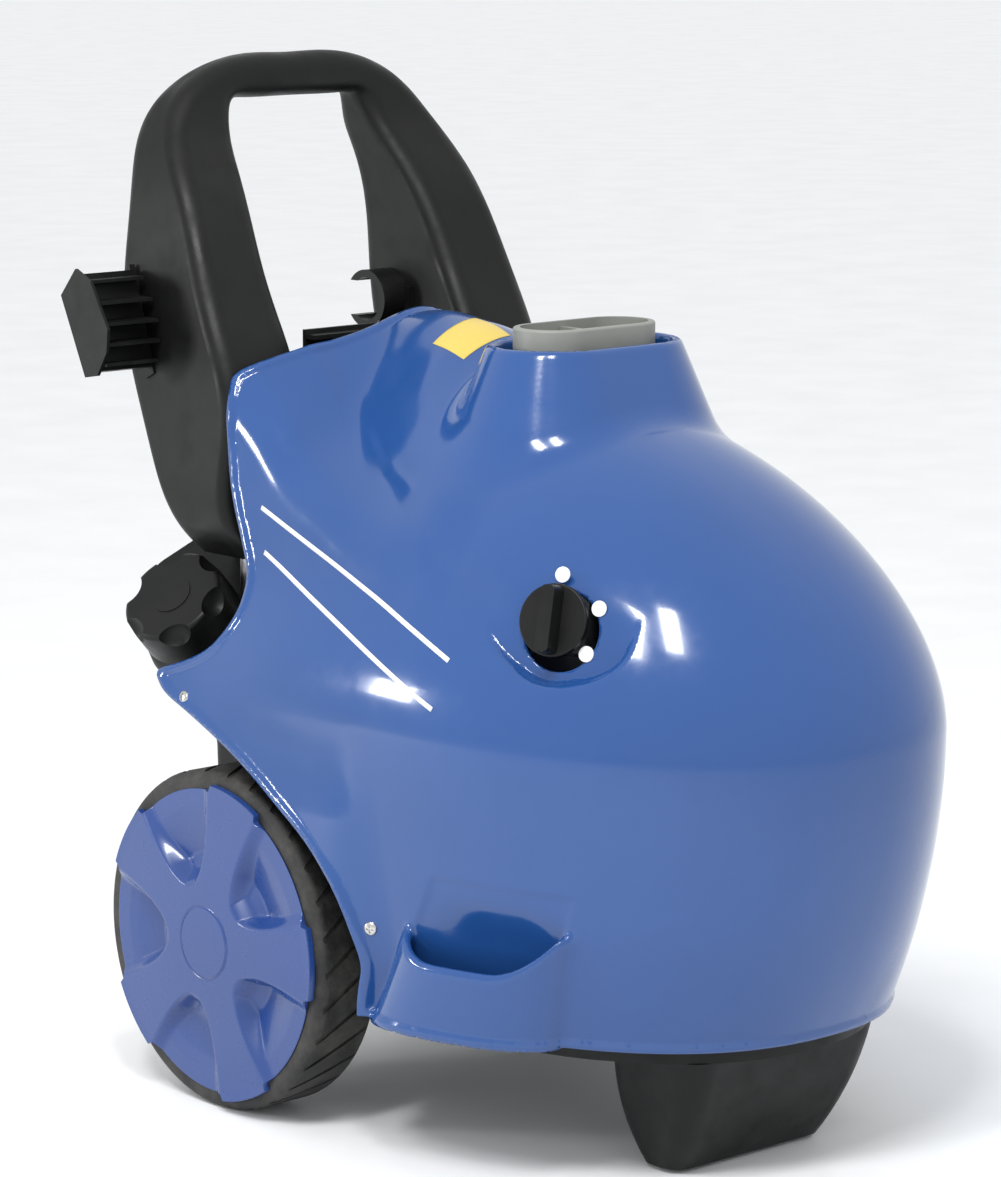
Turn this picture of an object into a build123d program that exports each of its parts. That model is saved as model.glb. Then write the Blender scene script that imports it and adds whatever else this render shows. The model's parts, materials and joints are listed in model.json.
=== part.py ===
from build123d import *
import os
from math import atan2, cos, degrees, pi, sin

# Hot-water high-pressure washer on two wheels and a front foot, in millimetres.
# +Z is up, -Y is the nose, -X is the machine's right side. The origin is on the floor,
# under the middle of the machine's outer box.

# ---------------------------------------------------------------- driving dimensions
WHEEL_R = 150.0            # rolling radius of the tyre
WHEEL_IN, WHEEL_OUT = 185.0, 250.0   # inner and outer face of a wheel, from the mid-plane
AXLE_Y, AXLE_Z = 165.0, 150.0
AXLE_R = 10.0
FIT = 0.05                 # radial clearance of a shaft in its bush
GAP = 0.4                  # clearance between moving pieces that don't bear on each other
RIM_R = 118.0
HUBCAP_R = 138.0
HUBCAP_PROUD = 11.0        # how far the hubcap's middle stands out of the tyre

FLOOR_Z, FLOOR_T = 108.0, 6.0        # underside and thickness of the chassis tray
TRAY_TOP = 172.0
TRAY_REAR, TRAY_HALF = 277.0, 165.0
WALL = 4.0                 # moulded wall thickness

HOOD_BOTTOM = 114.0
HOOD_MID_Y = 5.0           # widest station of the front dome
# height, half-width and length ahead of HOOD_MID_Y of the dome's horizontal sections
DOME = [(HOOD_BOTTOM, 212, 335), (200, 230, 366), (300, 243, 388), (385, 243, 390), (450, 226, 359),
        (500, 200, 317), (550, 161, 255), (590, 118, 187), (625, 62, 98)]
DOME_POWER = 2.3           # squareness of the dome's sections
# height and half-width of the rear saddle that carries the side panels
SADDLE = [(HOOD_BOTTOM, 257), (200, 257), (290, 254), (345, 240), (400, 219), (450, 205), (510, 196),
          (570, 190), (630, 184), (661, 160)]
SADDLE_TOP = 679.0
COLLAR = (192.0, 116.0, 674.0)       # outer length across, width and top height of the collar
CHIMNEY = (141.0, 68.0, 688.0)
CHIMNEY_Y = -38.0

BOILER_Y, BOILER_R = -50.0, 125.0
BOILER_BOTTOM, BOILER_TOP = 250.0, 560.0
COIL_R, COIL_TUBE, COIL_TURNS, COIL_PITCH = 88.0, 8.0, 12, 23.0
COIL_LOW = BOILER_BOTTOM + 30
COIL_HIGH = COIL_LOW + (COIL_TURNS - 1) * COIL_PITCH

PUMP_X, PUMP_Y = -95.0, 145.0        # vertical axis of the motor and pump
BLOWER_X, BLOWER_Y = 95.0, 140.0     # vertical axis of the burner blower
MOTOR_R = 66.0
CRADLE_Z = 174.0           # underside of the plate that carries the pump
REGULATOR_Y = 70.0

TANK_FRONT, TANK_HALF = 226.0, 162.0
POST_X, POST_Y, POST_R = 140.0, 243.0, 11.0      # steel posts that carry the handle

CAP_FACE = Vector(-205, 277, 436)    # middle of the fuel cap's outer face
CAP_AXIS = Vector(-0.70, -0.18, 0.69).normalized()
CAP_R, CAP_H = 47.0, 40.0
CAP_SCALLOPS = 6
CAP_LAND = -5.0                      # the tank's seat, below the underside of the cap

POCKET_X, POCKET_FOOT = -116.0, 106.0  # axis and underside of the lance pocket

SWITCH_AT = Vector(-176, -197, 473)  # middle of the switch plate's outer face
SWITCH_AXIS = Vector(-0.89, -0.36, 0.27).normalized()
KNOB_R = 30.0

FOOT_Y, FOOT_HALF = -222.0, 88.0
SCREW_SPOTS = [(237, 354, 229), (-14, 193, 224)]   # y, z and x of the hood's side screws

PARTS = "parts"


# ---------------------------------------------------------------- helpers
def rod(radius, z0, z1, x=0.0, y=0.0):
    """Upright round bar."""
    return Pos(x, y, (z0 + z1) / 2) * Cylinder(radius, z1 - z0)


def rod_x(radius, x0, x1, y, z):
    """Round bar along X."""
    return Pos((x0 + x1) / 2, y, z) * Rot(0, 90, 0) * Cylinder(radius, x1 - x0)


def rod_y(radius, y0, y1, x, z):
    """Round bar along Y."""
    return Pos(x, (y0 + y1) / 2, z) * Rot(90, 0, 0) * Cylinder(radius, y1 - y0)


def block(x0, x1, y0, y1, z0, z1):
    return Pos((x0 + x1) / 2, (y0 + y1) / 2, (z0 + z1) / 2) * Box(x1 - x0, y1 - y0, z1 - z0)


def on_axis(base, axis, shape, around=Vector(0, 0, 1)):
    """Shape built upright on the origin, moved to base with its Z along axis."""
    side = around.cross(axis).normalized()
    return Plane(origin=base, x_dir=side, z_dir=axis).location * shape


def flat_ring(outer, inner, z0, z1, x=0.0, y=0.0):
    return rod(outer, z0, z1, x, y) - rod(inner, z0 - 1, z1 + 1, x, y)


def rounded(x0, x1, y0, y1, z, radius):
    """Wire of a rounded rectangle at height z."""
    plate = RectangleRounded(x1 - x0, y1 - y0, radius)
    return (Pos((x0 + x1) / 2, (y0 + y1) / 2, z) * plate).wire()


def stadium(length, width, z, y=CHIMNEY_Y):
    return (Pos(0, y, z) * SlotOverall(length, width)).wire()


def side_prism(points, x0, x1):
    """Outline given in (y, z), pushed along X from x0 to x1."""
    corners = [Vector(x0, y, z) for y, z in points]
    return extrude(make_face(Polyline(*corners, close=True)), x1 - x0, dir=(1, 0, 0))


def both_sides(shape):
    """The shape and its mirror image about the mid-plane, as separate solids."""
    return Compound(children=[*shape.solids(), *mirror(shape, Plane.YZ).solids()])


def pipe(points, radius, bend):
    """Pipe of round section along straight runs with tangent bends."""
    path = FilletPolyline(*points, radius=bend)
    start = Plane(origin=path @ 0, z_dir=path % 0)
    return sweep(start * Circle(radius), path=path)


def group(*shapes):
    return Compound(children=[solid for shape in shapes for solid in shape.solids()])


# ---------------------------------------------------------------- running gear
def tyre(side):
    """Solid rubber tyre with rounded shoulders and slanting grooves across the tread."""
    middle = (WHEEL_IN + WHEEL_OUT) / 2
    width = WHEEL_OUT - WHEEL_IN
    body = rod_x(WHEEL_R, -width / 2, width / 2, 0, 0)
    body = fillet(body.edges().filter_by(GeomType.CIRCLE), 9)
    body -= rod_x(RIM_R, -width, width, 0, 0)
    groove = Pos(0, 0, WHEEL_R) * Rot(0, 0, 35) * Box(1.2 * width, 5, 5)
    for turn in range(30):
        body -= Rot(turn * 12, 0, 0) * groove
    return Pos(side * middle, AXLE_Y, AXLE_Z) * body


def rim(side):
    """Moulded wheel body: a barrel, a web and a hub, with stiffening ribs on the inside."""
    web = rod_x(RIM_R - 4, WHEEL_OUT - 22, WHEEL_OUT - 16, 0, 0)
    barrel = rod_x(RIM_R, WHEEL_IN + 4, WHEEL_OUT - 4, 0, 0)
    barrel -= rod_x(RIM_R - 5, WHEEL_IN, WHEEL_OUT, 0, 0)
    hub = rod_x(22, WHEEL_IN + 2, WHEEL_OUT - 14, 0, 0)
    body = barrel + web + hub
    rib = block(WHEEL_IN + 12, WHEEL_OUT - 20, -2, 2, 20, RIM_R - 4)
    for turn in range(10):
        body += Rot(turn * 36, 0, 0) * rib
    body -= rod_x(AXLE_R + 3, WHEEL_IN, WHEEL_OUT, 0, 0)
    body = Pos(0, AXLE_Y, AXLE_Z) * body
    return body if side > 0 else mirror(body, Plane.YZ)


def wheel_bush(side):
    bush = rod_x(AXLE_R + 3, WHEEL_IN + 2, WHEEL_OUT - 14, AXLE_Y, AXLE_Z)
    bush -= rod_x(AXLE_R + FIT, WHEEL_IN, WHEEL_OUT, AXLE_Y, AXLE_Z)
    return bush if side > 0 else mirror(bush, Plane.YZ)


def hubcap(side):
    """Pressed-in domed cover that fills the wheel's face."""
    skin = 2.5
    face = WHEEL_OUT + skin
    apex = WHEEL_OUT + HUBCAP_PROUD
    profile = Polyline((0, apex), (31, apex - 1.5), (80, apex - 5), (HUBCAP_R, face), (HUBCAP_R, face - skin),
                       (80, apex - 5 - skin), (31, apex - 1.5 - skin), (0, apex - skin), close=True)
    dome = revolve(make_face(profile), Axis.Y)
    dome = Rot(0, 0, -90) * dome
    ring = rod_x(RIM_R - 5.2, WHEEL_OUT - 10, face, 0, 0) - rod_x(RIM_R - 8, 0, face, 0, 0)
    body = Pos(0, AXLE_Y, AXLE_Z) * (dome + ring)
    return body if side > 0 else mirror(body, Plane.YZ)


def axle():
    return rod_x(AXLE_R, -(WHEEL_OUT - 8), WHEEL_OUT - 8, AXLE_Y, AXLE_Z)


def axle_collars():
    """Push-on caps outside each wheel and thrust washers inside it."""
    cap = rod_x(17, WHEEL_OUT - 13.5, WHEEL_OUT - 9, AXLE_Y, AXLE_Z)
    washer = rod_x(19, WHEEL_IN - 2, WHEEL_IN + 1.5, AXLE_Y, AXLE_Z)
    bore = rod_x(AXLE_R, 0, WHEEL_OUT, AXLE_Y, AXLE_Z)
    return both_sides(group(cap - bore, washer - bore))


# ---------------------------------------------------------------- chassis
def dome_points(half_width, reach, inset, count=15):
    """Front half of a superellipse, from the right flank round the nose to the left flank."""
    points = []
    for step in range(count):
        angle = pi * step / (count - 1)
        across = -cos(angle)
        ahead = sin(angle)
        x = (half_width - inset) * abs(across) ** (2 / DOME_POWER) * (1 if across >= 0 else -1)
        y = HOOD_MID_Y - (reach - inset) * ahead ** (2 / DOME_POWER)
        points.append((x, y))
    return points


def tray_outline(inset):
    """Plan of the chassis tray: the hood's rim at the front, straight between the wheels."""
    height, half_width, reach = DOME[0]
    front = dome_points(half_width, reach, 12 + inset)
    half = TRAY_HALF - inset
    edge = Spline(*[(x, y) for x, y in front])
    back = Polyline(front[-1], (half, HOOD_MID_Y), (half, TRAY_REAR - inset), (-half, TRAY_REAR - inset),
                    (-half, HOOD_MID_Y), front[0])
    return make_face(edge + back)


def chassis_base():
    """Moulded tray that carries everything, with two bosses for the axle."""
    tray = Pos(0, 0, FLOOR_Z) * extrude(tray_outline(0), TRAY_TOP - FLOOR_Z)
    tray -= Pos(0, 0, FLOOR_Z + FLOOR_T) * extrude(tray_outline(WALL), TRAY_TOP)
    boss = block(120, TRAY_HALF - WALL, AXLE_Y - 22, AXLE_Y + 22, FLOOR_Z + FLOOR_T, TRAY_TOP)
    tray += boss + mirror(boss, Plane.YZ)
    tray -= rod_x(AXLE_R, -200, 200, AXLE_Y, AXLE_Z)
    for x in (-POST_X, POST_X):
        tray += rod(POST_R + 6, FLOOR_Z + FLOOR_T, TRAY_TOP - 12, x, POST_Y)
        tray -= rod(POST_R, FLOOR_Z + FLOOR_T, TRAY_TOP, x, POST_Y)
    for x in (-60, 60):
        tray -= rod_y(14, TRAY_REAR - 10, TRAY_REAR + 10, x, 140)
    tray -= rod_y(9, TRAY_REAR - 10, TRAY_REAR + 10, 0, 140)
    tray -= pocket_recess(WALL + 1)
    return tray


def front_foot():
    """Hollow moulded stand under the nose, open at the back, with a shallow pocket at each end."""
    outer = Solid.make_loft([rounded(-FOOT_HALF, FOOT_HALF, FOOT_Y - 26, FOOT_Y + 20, 4, 16),
                             rounded(-FOOT_HALF - 8, FOOT_HALF + 8, FOOT_Y - 40, FOOT_Y + 30, 26, 20),
                             rounded(-FOOT_HALF - 24, FOOT_HALF + 24, FOOT_Y - 72, FOOT_Y + 40, FLOOR_Z, 26)])
    inner = Solid.make_loft([rounded(-FOOT_HALF + 8, FOOT_HALF - 8, FOOT_Y - 16, FOOT_Y + 60, 12, 10),
                             rounded(-FOOT_HALF - 16, FOOT_HALF + 16, FOOT_Y - 60, FOOT_Y + 80, FLOOR_Z - 5, 12)])
    body = Part() + outer - inner
    pad = rod(9, 2, 8, 60, FOOT_Y - 3)
    return body - pad - mirror(pad, Plane.YZ)


def foot_pads():
    """Two rubber plugs that the foot stands on."""
    return both_sides(rod(9, 2, 8, 60, FOOT_Y - 3) + rod(13, 0, 4, 60, FOOT_Y - 3))


def handle_posts():
    """Two steel tubes from the tray up into the handle's arms."""
    post = rod(POST_R, FLOOR_Z + FLOOR_T, 600, POST_X, POST_Y)
    post -= rod(POST_R - 2, FLOOR_Z, 601, POST_X, POST_Y)
    return both_sides(post)


# ---------------------------------------------------------------- handle
# stations of the left arm from its foot to the middle of the grip:
# inner x, inner z, outer x, outer z, front y, rear y, corner radius
HANDLE = [(100, 468, 158, 468, 216, 298, 12), (98, 502, 188, 502, 214, 302, 12),
          (99, 560, 190, 560, 216, 334, 14),
          (101, 630, 188, 630, 218, 364, 16),
          (102, 700, 184, 706, 252, 379, 17),
          (98, 760, 176, 770, 282, 380, 17),
          (88, 815, 162, 824, 318, 388, 17),
          (78, 848, 140, 862, 338, 389, 17),
          (70, 863, 106, 888, 342, 384, 17),
          (55, 864, 60, 902, 342, 381, 17),
          (0, 864, 0, 903, 342, 381, 17)]


def handle_section(inner_x, inner_z, outer_x, outer_z, front, rear, radius):
    """Rounded section between an inner and an outer edge, as wide as front to rear in Y."""
    across = Vector(outer_x - inner_x, 0, outer_z - inner_z)
    middle = Vector((inner_x + outer_x) / 2, (front + rear) / 2, (inner_z + outer_z) / 2)
    plane = Plane(origin=middle, x_dir=across, z_dir=across.cross(Vector(0, 1, 0)))
    return (plane * RectangleRounded(across.length, rear - front, radius)).wire()


def handle_frame():
    """Moulded push handle: two broad arms that turn into one round grip."""
    right = [(-inner_x, inner_z, -outer_x, *rest) for inner_x, inner_z, outer_x, *rest in HANDLE[-2::-1]]
    body = Part() + Solid.make_loft([handle_section(*station) for station in HANDLE + right])
    for x in (-POST_X, POST_X):
        body -= rod(POST_R + 0.02, 460, 601, x, POST_Y)
    return body


def hose_hook():
    """Bracket on the right arm: a ribbed drum with an end plate that keeps the hose on."""
    root, tip = -190.0, -246.0
    wall = side_prism([(344, 718), (350, 716), (327, 632), (320, 634)], tip, root)
    ribs = []
    for step in range(5):
        z = 712 - 18 * step
        back = 345 - 4.6 * step
        reach = 10 + 16 * sin(pi * (step + 0.5) / 5)
        ribs.append(block(tip, root, back - reach, back + 1, z - 1.5, z + 1.5))
    plate = side_prism([(374, 697), (352, 722), (330, 712), (306, 672), (308, 652), (322, 630), (340, 627)],
                       tip - 3, tip)
    pad = side_prism([(352, 722), (356, 716), (330, 622), (318, 628)], root, -184)
    body = wall + plate + pad
    for rib in ribs:
        body += rib
    return body - Part(handle_frame())


def lance_clip():
    """Open C-shaped clip inside the left arm that the lance snaps into."""
    outer = Pos(0, 338, 674) * Rot(0, 90, 0) * Cylinder(27, 26)
    inner = Pos(0, 338, 674) * Rot(0, 90, 0) * Cylinder(20, 40)
    mouth = block(-30, 30, 340, 380, 658, 690)
    body = Pos(85, 0, 0) * (outer - inner - mouth)
    foot = block(97, 104, 306, 352, 662, 686)
    return body + foot - Part(handle_frame())


# ---------------------------------------------------------------- fuel tank and cap
HANDLE_SEAT_X, HANDLE_SEAT_Y, HANDLE_SEAT_Z = 92.0, 308.0, 464.0   # the tank's top steps down here


def tank_form(inset):
    """Tank body: slim behind the axle, bellied above the wheels, with a seat for each arm of the handle."""
    outline = [(TANK_FRONT, 176), (274, 176), (278, 300), (300, 326), (366, 348), (393, 384), (386, 424),
               (338, 476), (316, 499), (TANK_FRONT, 499)]
    radii = (8, 20, 20, 20, 26, 26, 60, 40, 10, 6)
    corners = [Vector(0, y, z) for y, z in outline]
    side = FilletPolyline(*corners, radius=list(radii), close=True)
    face = make_face(side)
    if inset:
        face = offset(face, amount=-inset)
    body = extrude(face, TANK_HALF - inset, both=True, dir=(1, 0, 0))
    ends = [edge for edge in body.edges() if abs(abs(edge.center().X) - TANK_HALF + inset) < 0.01]
    seat = both_sides(block(HANDLE_SEAT_X - inset, 400, 0, HANDLE_SEAT_Y + inset, HANDLE_SEAT_Z - inset, 600))
    return fillet(ends, 14 - inset) - seat


def cap_base(height):
    """Point on the cap's axis, height above the underside of the cap."""
    return CAP_FACE - CAP_AXIS * (CAP_H - height)


def fuel_tank():
    """Blow-moulded tank with its filler neck and flange, and tubes for the handle posts."""
    land = on_axis(cap_base(CAP_LAND), CAP_AXIS, block(-400, 400, -400, 400, 0, 400))
    land_inside = on_axis(cap_base(CAP_LAND - WALL), CAP_AXIS, block(-400, 400, -400, 400, 0, 400))
    neck = on_axis(cap_base(0), CAP_AXIS, rod(31, CAP_LAND - 36, CAP_LAND))
    bore = on_axis(cap_base(0), CAP_AXIS, rod(24, -90, 30))
    body = tank_form(0) - land - (tank_form(WALL) - land_inside) + neck - bore
    for x in (-POST_X, POST_X):
        body += rod(POST_R + 4, 177, HANDLE_SEAT_Z, x, POST_Y)
        body -= rod(POST_R + 0.02, 170, 510, x, POST_Y)
    return body - land


def fuel_cap_plug():
    """Threaded plug that screws into the neck, with a stem that the grip turns on."""
    plug = rod(24 - FIT, -28, CAP_LAND + 2) + rod(28, CAP_LAND + 2, 3) + rod(8, 3, 28)
    return on_axis(cap_base(0), CAP_AXIS, plug)


def fuel_cap_seal():
    return on_axis(cap_base(0), CAP_AXIS, flat_ring(28, 24.2, CAP_LAND, CAP_LAND + 2))


def fuel_cap_grip():
    """Scalloped cap with six finger hollows and a raised disc in the middle."""
    body = rod(CAP_R, 0, CAP_H)
    body = fillet(body.edges().filter_by(GeomType.CIRCLE).sort_by(Axis.Z)[-1], 5)
    for turn in range(CAP_SCALLOPS):
        body -= Rot(0, 0, 60 * turn) * Pos(CAP_R + 8, 0, CAP_H + 1) * Rot(0, 35, 0) * Sphere(19)
    body += rod(18.5, CAP_H - 2, CAP_H + 0.8)
    body -= rod(CAP_R - 7, -1, 8) + rod(8 + FIT, 6, 29)
    return on_axis(cap_base(0), CAP_AXIS, body)


def fuel_strainer():
    """Fine cup hanging in the neck below the plug."""
    cup = flat_ring(22, 20.5, -76, -30) + rod(22, -78, -76)
    return on_axis(cap_base(0), CAP_AXIS, cup)


# ---------------------------------------------------------------- hood
def dome_form(inset):
    """Front dome, carried straight back to the middle of the machine."""
    wires = []
    for z, half_width, reach in DOME:
        points = [Vector(x, y, z) for x, y in dome_points(half_width, reach, inset)]
        edge = Spline(*points)
        back = Polyline(points[-1], Vector(points[-1].X, 120, z), Vector(points[0].X, 120, z), points[0])
        wires.append((edge + back).wire())
    body = Part() + Solid.make_loft(wires)
    tip = Pos(0, HOOD_MID_Y, 0) * rod(44 - inset, DOME[-1][0] - 4, DOME[-1][0] + 22 - inset)
    return body + tip


def saddle_form(inset):
    """Rear of the hood: flat side panels that rise to a broad shoulder."""
    wires = []
    for y, narrow, top in ((-30, 60, 612), (30, 18, 650), (90, 2, 672), (330, 0, SADDLE_TOP)):
        drop = SADDLE_TOP - top
        right = [Vector(-(half - narrow - inset), y, z - drop * z / SADDLE_TOP) for z, half in SADDLE]
        crown = [Vector(-90, y, top - 3 - inset), Vector(0, y, top - inset), Vector(90, y, top - 3 - inset)]
        left = [Vector(-point.X, point.Y, point.Z) for point in reversed(right)]
        edge = Spline(*right, *crown, *left)
        wires.append((edge + Line(left[-1], right[0])).wire())
    return Part() + Solid.make_loft(wires)


def hood_side_cut():
    """Everything behind and below the hood's rear edge, tail and wheel arch, seen from the side."""
    arch = [(AXLE_Y + 170 * cos(angle), AXLE_Z + 170 * sin(angle))
            for angle in (pi / 2 - 0.55, pi / 2 - 0.1, pi / 2 + 0.35, pi / 2 + 0.8)]
    edge = [(214, 700), (214, 640), (212, 560), (204, 505), (196, 470), (212, 400), (262, 382), (314, 366),
            (306, 345)] + arch[1:] + [(0, 236), (-36, 190), (-48, 150), (-52, 90), (500, 90), (500, 700)]
    return side_prism(edge, -320, 320)


def pocket_form(inset):
    """Cup on the right flank that holds the lance and gun: a leaning cone, wider at its foot."""
    rings = []
    for z, y, radius in ((POCKET_FOOT, -104, 140), (240, -151, 127)):
        height = z + inset if z == POCKET_FOOT else z
        rings.append(Pos(POCKET_X, y, height) * Circle(radius - inset).face())
    return Part() + Solid.make_loft([ring.outer_wire() for ring in rings])


def pocket_recess(grow):
    """Hollow of the lance pocket, scooped into the flank of the dome."""
    rings = []
    for z, x, inward, along in ((POCKET_FOOT + 20 - grow, -206, 44, 74), (190, -208, 42, 72), (244, -226, 16, 44)):
        rings.append(Pos(x, -155, z) * Rot(0, 0, 15) * Ellipse(inward + grow, along + grow).face())
    return Part() + Solid.make_loft([ring.outer_wire() for ring in rings])


def hood():
    """One-piece moulded hood with collar, switch plate and lance pocket."""
    dome, dome_space = dome_form(0), dome_form(WALL)
    saddle_space = saddle_form(WALL)
    shell = dome + saddle_form(0) - dome_space - saddle_space - hood_side_cut()
    lip = side_prism([(-262, 236), (-226, 196), (-190, 187), (-112, 187), (-84, 222), (-60, 200), (-30, 172),
                      (60, 172), (60, 300), (-262, 300)], -300, -90)
    under_dome = Pos(0, 0, FLOOR_Z - 20) * extrude(tray_outline(-4), 30)
    hollow = pocket_recess(0) & pocket_form(WALL)
    cup = pocket_form(0) - lip - pocket_form(WALL) - dome_space - under_dome - hood_side_cut()
    cup += (pocket_recess(WALL) & dome) - hollow
    collar = Part() + Solid.make_loft([stadium(252, 176, 572), stadium(212, 134, 630), stadium(*COLLAR)])
    collar = collar - dome_space - saddle_space
    well = Part() + Solid.make_loft([stadium(180, 104, 560), stadium(180, 104, COLLAR[2] + 1)])
    body = shell - hollow + cup + collar - well
    recess = on_axis(SWITCH_AT, SWITCH_AXIS, rod(46, 0, 60))
    sleeve = on_axis(SWITCH_AT, SWITCH_AXIS, rod(50, -WALL, 40)) & dome
    body = body - recess + (sleeve - recess)
    body -= on_axis(SWITCH_AT, SWITCH_AXIS, rod(7.2, -20, 20))
    for y, z, x in SCREW_SPOTS:
        body -= rod_x(3.5, -300, 300, y, z)
    return max(body.solids(), key=lambda solid: solid.volume)


def hood_screws():
    """Four stainless button-head screws, two on each side."""
    screws = []
    for y, z, x in SCREW_SPOTS:
        head = Rot(0, 90, 0) * (rod(3, -16, 0) + rod(5.5, 0, 2) + Pos(0, 0, 2) * Cone(5.5, 3, 1.6,
                                align=(Align.CENTER, Align.CENTER, Align.MIN)))
        head -= Rot(0, 90, 0) * (Pos(0, 0, 3) * extrude(RegularPolygon(2, 6), 4))
        screws.append(Pos(x, y, z) * head)
    return both_sides(group(*screws))


def chimney():
    """Cast flue outlet that stands in the collar, with one bar across its middle."""
    length, width, top = CHIMNEY
    body = Part() + Solid.make_loft([stadium(length, width, 640), stadium(length, width, top)])
    body = fillet(body.edges().group_by(Axis.Z)[-1], 2)
    body -= Solid.make_loft([stadium(length - 12, width - 12, 630), stadium(length - 12, width - 12, top + 1)])
    body += block(-2.5, 2.5, CHIMNEY_Y - width / 2 + 4, CHIMNEY_Y + width / 2 - 4, 655, top - 5)
    return body


# ---------------------------------------------------------------- switch
def switch_knob():
    """Round knob with a raised bar to turn it by."""
    disc = rod(KNOB_R, 3, 10)
    disc = fillet(disc.edges().filter_by(GeomType.CIRCLE), 1.5)
    bar = Pos(0, 0, 9) * extrude(RectangleRounded(15, 57, 6), 17, taper=5)
    body = disc + bar - rod(4 + FIT, 0, 20)
    return on_axis(SWITCH_AT, SWITCH_AXIS, body)


def switch_body():
    """Three-position cam switch behind the plate, with its shaft."""
    case = block(-24, 24, -24, 24, -52, -WALL - 1) + rod(7, -WALL - 1, 1) + rod(4, 0, 18)
    case = case - rod(7.2, -WALL - 1, 0) + rod(6.5, -WALL - 1.5, 1)
    return on_axis(SWITCH_AT, SWITCH_AXIS, case)


def switch_markers():
    """Three white position discs round the knob."""
    discs = []
    for angle in (90, 20, -40):
        spot = Pos(38 * cos(angle * pi / 180), 38 * sin(angle * pi / 180), 0.6)
        discs.append(on_axis(SWITCH_AT, SWITCH_AXIS, spot * Cylinder(6.5, 1.2)))
    return group(*discs)


# ---------------------------------------------------------------- boiler and burner
def boiler_shell():
    """Steel drum with a flange at the bottom and a flue hole at the top."""
    drum = flat_ring(BOILER_R, BOILER_R - 3, BOILER_BOTTOM, BOILER_TOP, 0, BOILER_Y)
    drum += rod(BOILER_R, BOILER_TOP - 3, BOILER_TOP, 0, BOILER_Y) - rod(60, 500, 600, 0, BOILER_Y)
    drum += rod(BOILER_R, BOILER_BOTTOM, BOILER_BOTTOM + 3, 0, BOILER_Y) - rod(36, 200, 300, 0, BOILER_Y)
    for z in (COIL_LOW, COIL_HIGH):
        drum -= rod_y(COIL_TUBE + 1, BOILER_Y + 80, BOILER_Y + 140, 0, z)
    return drum


def boiler_coil():
    """Water coil: close turns of steel pipe, with a tail out of the back at top and bottom."""
    turns = [Pos(0, BOILER_Y, COIL_LOW + turn * COIL_PITCH) * Torus(COIL_R, COIL_TUBE)
             for turn in range(COIL_TURNS)]
    tails = []
    for z, turn in ((COIL_LOW, turns[0]), (COIL_HIGH, turns[-1])):
        tails.append(rod_y(COIL_TUBE - 1, BOILER_Y + COIL_R, BOILER_Y + 138, 0, z) - turn)
    return group(*turns, *tails)


def steel_brackets():
    """Three bent legs under the boiler and the plate over the axle that carries the pump."""
    leg = block(-14, 14, 100, 104, FLOOR_Z + FLOOR_T, BOILER_BOTTOM)
    leg += block(-14, 14, 100, 118, BOILER_BOTTOM - 3, BOILER_BOTTOM)
    leg += block(-14, 14, 100, 120, FLOOR_Z + FLOOR_T, FLOOR_Z + FLOOR_T + 3)
    legs = [Pos(0, BOILER_Y, 0) * Rot(0, 0, turn) * leg for turn in (60, 180, 300)]
    cradle = block(-150, -40, 105, 203, CRADLE_Z, CRADLE_Z + 4) - rod(44, 160, 180, PUMP_X, PUMP_Y)
    return group(*legs, cradle)


def burner_head():
    """Air box under the boiler with the blast tube and the nozzle holder."""
    box = rod(60, 182, BOILER_BOTTOM, 0, BOILER_Y) - rod(57, 185, BOILER_BOTTOM - 3, 0, BOILER_Y)
    tube = flat_ring(34, 31, BOILER_BOTTOM - 3, 288, 0, BOILER_Y)
    nozzle = rod(7, 185, 262, 0, BOILER_Y)
    bore = rod(31, BOILER_BOTTOM - 4, BOILER_BOTTOM + 2, 0, BOILER_Y)
    return box - bore + tube + nozzle


def air_duct():
    """Square duct from the blower to the burner's air box."""
    run = Plane(origin=(72, 84, 215), x_dir=(1, 0.5, 0), z_dir=(-0.5, -1, 0))
    duct = extrude(run * Rectangle(44, 44), 120) - extrude(run * Rectangle(40, 40), 120)
    duct -= rod(60, 150, 300, 0, BOILER_Y)
    return duct - rod(63, 150, 300, BLOWER_X, BLOWER_Y)


def blower_housing():
    """Scroll of the burner blower, with its intake below."""
    case = rod(64, 180, 246, BLOWER_X, BLOWER_Y) - rod(61, 183, 243, BLOWER_X, BLOWER_Y)
    case -= rod(34, 170, 190, BLOWER_X, BLOWER_Y)
    case -= rod(12, 240, 250, BLOWER_X, BLOWER_Y)
    mouth = Plane(origin=(72, 84, 215), x_dir=(1, 0.5, 0), z_dir=(0.5, 1, 0))
    return case - extrude(mouth * Rectangle(40, 40), 30) + air_duct()


def blower_wheel():
    """Drum impeller on the blower motor's shaft."""
    body = rod(52, 232, 236, BLOWER_X, BLOWER_Y) + flat_ring(52, 44, 188, 191, BLOWER_X, BLOWER_Y)
    blade = Pos(48, 0, 211) * Rot(0, 0, 25) * Box(8, 1.2, 46)
    for turn in range(24):
        body += Pos(BLOWER_X, BLOWER_Y, 0) * Rot(0, 0, 15 * turn) * blade
    return body + rod(5, 225, 372, BLOWER_X, BLOWER_Y)


def blower_motor():
    """Small motor on top of the scroll, with cooling slots."""
    body = rod(44, 246, 350, BLOWER_X, BLOWER_Y)
    body -= rod(38, 252, 344, BLOWER_X, BLOWER_Y) + rod(5 + FIT, 240, 360, BLOWER_X, BLOWER_Y)
    for turn in range(12):
        slot = Rot(0, 0, 30 * turn) * Pos(42, 0, 300) * Box(10, 5, 60)
        body -= Pos(BLOWER_X, BLOWER_Y, 0) * slot
    return body


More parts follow.
